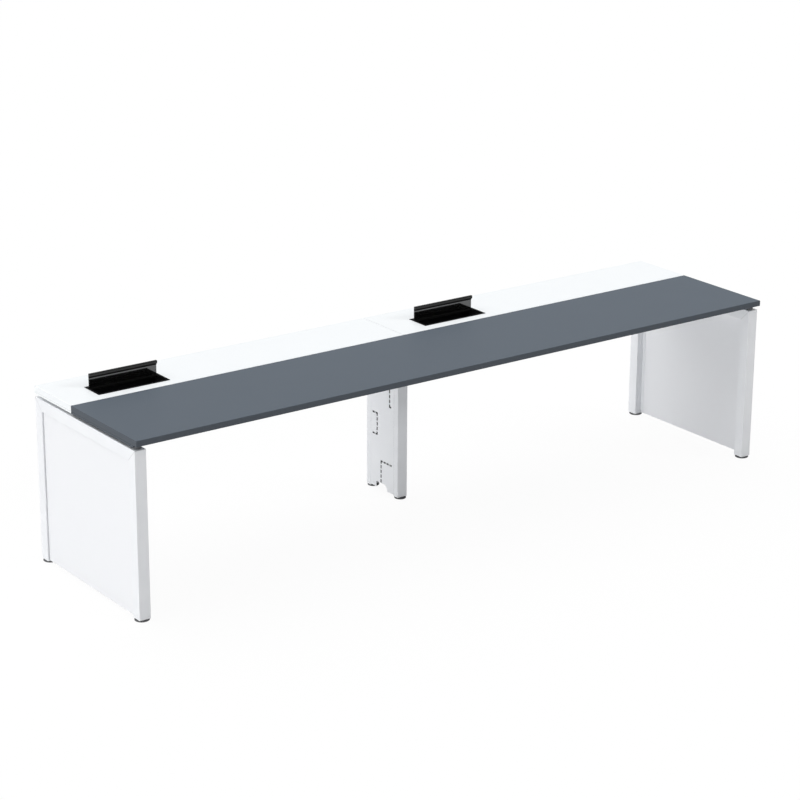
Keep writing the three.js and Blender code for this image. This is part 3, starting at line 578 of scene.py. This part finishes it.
for number, side in enumerate(ENDS):
    brush_piece(f"{side}_flap_brush_detail", side, BRUSH_SEED + number)


# Lips under the outer ends of the boards

LIP_DEPTH, LIP_WIDTH, LIP_ROUND = 8 * MM, 8 * MM, 0.5 * MM
LIP_INSET, WORKTOP_LIP_START = 0.5 * MM, 25 * MM


def lip_piece(name, board, side, start, material):
    """start is how far behind the board's front edge the lip begins."""
    data = bmesh.new()
    low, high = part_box(board)
    left = low.x if side == "left" else high.x - LIP_WIDTH
    right = left + LIP_WIDTH

    def outline(shrink, height):
        first, last = left + shrink, right - shrink
        near, far = low.y + start + shrink, high.y - LIP_INSET - shrink
        corners = ((first, near), (last, near), (last, far), (first, far))
        return [Vector((x, y, height)) for x, y in corners]

    foot = low.z - LIP_DEPTH
    rings(data, [outline(LIP_ROUND, foot), outline(0, foot + LIP_ROUND), outline(0, low.z)])
    piece(name, data, "desk", [material])


for side in ENDS:
    lip_piece(f"{side}_worktop_lip", "front_worktop", side, WORKTOP_LIP_START, SLATE)
    lip_piece(f"{side}_panel_lip", f"rear_panel_{side}", side, LIP_INSET, WHITE)


# Screws: button heads with a hexagon socket

# As (shape, share of the head's radius, share of its height)
SCREW_OUTLINE = (
    (circle, 0.97, 0.0),
    (circle, 1.0, 0.14),
    (circle, 0.985, 0.34),
    (circle, 0.9, 0.62),
    (circle, 0.76, 0.86),
    (circle, 0.64, 1.0),
    (hexagon, 0.51, 0.985),
    (hexagon, 0.49, 0.3),
    (circle, 0.15, 0.16),
)
SCREW_SIDES = 24
# Radius and height of the heads
LARGE_HEAD, SMALL_HEAD = (4.6 * MM, 2.8 * MM), (3.4 * MM, 2.0 * MM)
# Thickness of the sheets, and where the screws sit on them
SADDLE_SHEET, ANGLE_SHEET, TRAY_SHEET, ARM_SHEET = 3 * MM, 2 * MM, 1.5 * MM, 3 * MM
SADDLE_MARGIN_Y, SADDLE_MARGIN_Z = 9 * MM, 10 * MM
ANGLE_MARGIN, ANGLE_SHARES = 9.5 * MM, (0.06, 0.35, 0.65, 0.94)
TRAY_DROP, TRAY_SHARES = 22 * MM, (0.04, 0.35, 0.65, 0.96)
ARM_SPACING = 11 * MM
UP = Vector((0, 0, 1))


def screw_set(name, places, head, material):
    """Several screws in one piece, each given as (point on the surface, direction out of it)."""
    data = bmesh.new()
    radius, height = head
    for spot, out in places:
        turn = UP.rotation_difference(Vector(out)).to_matrix().to_4x4()
        place = Matrix.Translation(Vector(spot)) @ turn
        loops = [shape(share * radius, level * height, SCREW_SIDES) for shape, share, level in SCREW_OUTLINE]
        rings(data, [[place @ point for point in loop] for loop in loops])
    piece(name, data, "desk", [material], sharp=32)


def inner_face(side, low, high, sheet):
    """Where an end piece's sheet faces the middle of the desk, and the way it faces."""
    return (low.x + sheet, 1) if side == "left" else (high.x - sheet, -1)


def saddle_screws(side):
    places = []
    for row in ROWS:
        low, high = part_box(f"{side}_{row}_beam_saddle")
        face, way = inner_face(side, low, high, SADDLE_SHEET)
        for y in (low.y + SADDLE_MARGIN_Y, high.y - SADDLE_MARGIN_Y):
            for z in (low.z + SADDLE_MARGIN_Z, high.z - SADDLE_MARGIN_Z):
                places.append(((face, y, z), (way, 0, 0)))
    screw_set(f"{side}_saddle_screws", places, LARGE_HEAD, ZINC)


def angle_screws(side):
    places = []
    for place in PLACES:
        low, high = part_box(f"{side}_{place}_panel_angle")
        face, way = inner_face(side, low, high, ANGLE_SHEET)
        y = low.y + ANGLE_MARGIN if place == "front" else high.y - ANGLE_MARGIN
        for share in ANGLE_SHARES:
            places.append(((face, y, low.z + share * (high.z - low.z)), (way, 0, 0)))
    screw_set(f"{side}_angle_screws", places, SMALL_HEAD, COAT)


def tray_screws(side):
    places = []
    low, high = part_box(f"{side}_cable_tray")
    for share in TRAY_SHARES:
        x = low.x + share * (high.x - low.x)
        places.append(((x, low.y + TRAY_SHEET, high.z - TRAY_DROP), (0, 1, 0)))
        places.append(((x, high.y - TRAY_SHEET, high.z - TRAY_DROP), (0, -1, 0)))
    screw_set(f"{side}_tray_screws", places, LARGE_HEAD, ZINC)


def arm_screws():
    places = []
    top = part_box("middle_leg_arm")[1].z - ARM_SHEET
    for row in ROWS:
        low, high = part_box(f"{row}_beam")
        for x in (-ARM_SPACING, ARM_SPACING):
            places.append(((x, (low.y + high.y) / 2, top), (0, 0, -1)))
    screw_set("middle_arm_screws", places, LARGE_HEAD, ZINC)


for side in ENDS:
    saddle_screws(side)
    angle_screws(side)
    tray_screws(side)
arm_screws()


# Stage: a pale floor that shows nearly white and keeps a soft shadow, and even studio light

PURE_WHITE = (1, 1, 1, 1)
FLOOR_REACH, FLOOR_LEVEL = 60.0, -0.4 * MM
FLOOR_COLOUR, FLOOR_GLOW = (0.80, 0.80, 0.80, 1), 0.94
SENSOR_WIDTH, PICTURE_WIDTH, CLIP_END = 36, 800, 300


def seen_directly(tree):
    """One for the camera's own rays and for those that mirrors and glass send on, else zero."""
    path = add(tree, "ShaderNodeLightPath").outputs
    seen = math_node(tree, "MAXIMUM", path["Is Camera Ray"], path["Is Glossy Ray"])
    return math_node(tree, "MAXIMUM", seen, path["Is Transmission Ray"])


def mix_shaders(tree, share, first, second):
    inputs = {0: share, 1: first.outputs[0], 2: second.outputs[0]}
    return add(tree, "ShaderNodeMixShader", inputs)


def floor():
    data = bmesh.new()
    reach = FLOOR_REACH
    corners = [(-reach, -reach), (reach, -reach), (reach, reach), (-reach, reach)]
    data.faces.new([data.verts.new((x, y, FLOOR_LEVEL)) for x, y in corners])
    mesh = bpy.data.meshes.new("floor")
    data.to_mesh(mesh)
    data.free()
    material, tree, _ = new_material("floor")
    tree.nodes.clear()
    lit = add(tree, "ShaderNodeBsdfDiffuse", {"Color": FLOOR_COLOUR})
    shadowed = add(tree, "ShaderNodeBsdfDiffuse", {"Color": PURE_WHITE})
    glow = add(tree, "ShaderNodeEmission", {"Color": PURE_WHITE, "Strength": 1.0})
    pale = mix_shaders(tree, FLOOR_GLOW, shadowed, glow)
    both = mix_shaders(tree, seen_directly(tree), lit, pale)
    add(tree, "ShaderNodeOutputMaterial", {"Surface": both.outputs[0]})
    mesh.materials.append(material)
    obj = bpy.data.objects.new("floor", mesh)
    bpy.context.scene.collection.objects.link(obj)


def sky(strength):
    world = bpy.data.worlds.new("studio")
    bpy.context.scene.world = world
    world.use_nodes = True
    tree = world.node_tree
    tree.nodes.clear()
    soft = add(tree, "ShaderNodeBackground", {"Color": PURE_WHITE, "Strength": strength})
    white = add(tree, "ShaderNodeBackground", {"Color": PURE_WHITE, "Strength": 1.0})
    both = mix_shaders(tree, seen_directly(tree), soft, white)
    add(tree, "ShaderNodeOutputWorld", {"Surface": both.outputs[0]})


def sun(name, towards, strength, softness, shadow=True, shine=True):
    """A far lamp as wide as softness in degrees; without shine it shows in no reflection."""
    lamp = bpy.data.lights.new(name, "SUN")
    lamp.energy = strength
    lamp.angle = math.radians(softness)
    lamp.use_shadow = shadow
    obj = bpy.data.objects.new(name, lamp)
    obj.rotation_euler = Vector(towards).to_track_quat("-Z", "Y").to_euler()
    obj.visible_glossy = shine
    bpy.context.scene.collection.objects.link(obj)


def camera(place, pitch, yaw, roll, focal):
    """Angles are in degrees, pitch down and yaw to the left of +Y; focal is in pixels of the picture."""
    data = bpy.data.cameras.new("camera")
    data.sensor_width = SENSOR_WIDTH
    data.lens = focal * SENSOR_WIDTH / PICTURE_WIDTH
    data.clip_end = CLIP_END
    pitch, yaw, roll = (math.radians(angle) for angle in (pitch, yaw, roll))
    level = math.cos(pitch)
    ahead = Vector((-level * math.sin(yaw), level * math.cos(yaw), -math.sin(pitch)))
    right = ahead.cross(UP).normalized()
    up = right.cross(ahead)
    rolled_right = math.cos(roll) * right + math.sin(roll) * up
    rolled_up = math.cos(roll) * up - math.sin(roll) * right
    turn = Matrix((rolled_right, rolled_up, -ahead)).transposed().to_4x4()
    obj = bpy.data.objects.new("camera", data)
    obj.matrix_world = Matrix.Translation(Vector(place)) @ turn
    bpy.context.scene.collection.objects.link(obj)
    bpy.context.scene.camera = obj


floor()
sky(strength=0.29)
sun("key", towards=(0.2, -0.36, -0.93), strength=2.18, softness=95)
sun("fill", towards=(1.0, 0.0, -0.05), strength=0.69, softness=20, shadow=False)
sun("side", towards=(1.0, 0.0, 0.0), strength=0.32, softness=4)
sun("front", towards=(-0.6, 0.65, -0.42), strength=0.58, softness=12, shine=False)
camera((-5.9367, -7.9966, 3.8896), pitch=18.8977, yaw=-36.1724, roll=0.3321, focal=2478.42)
bpy.context.scene.view_settings.view_transform = "Standard"
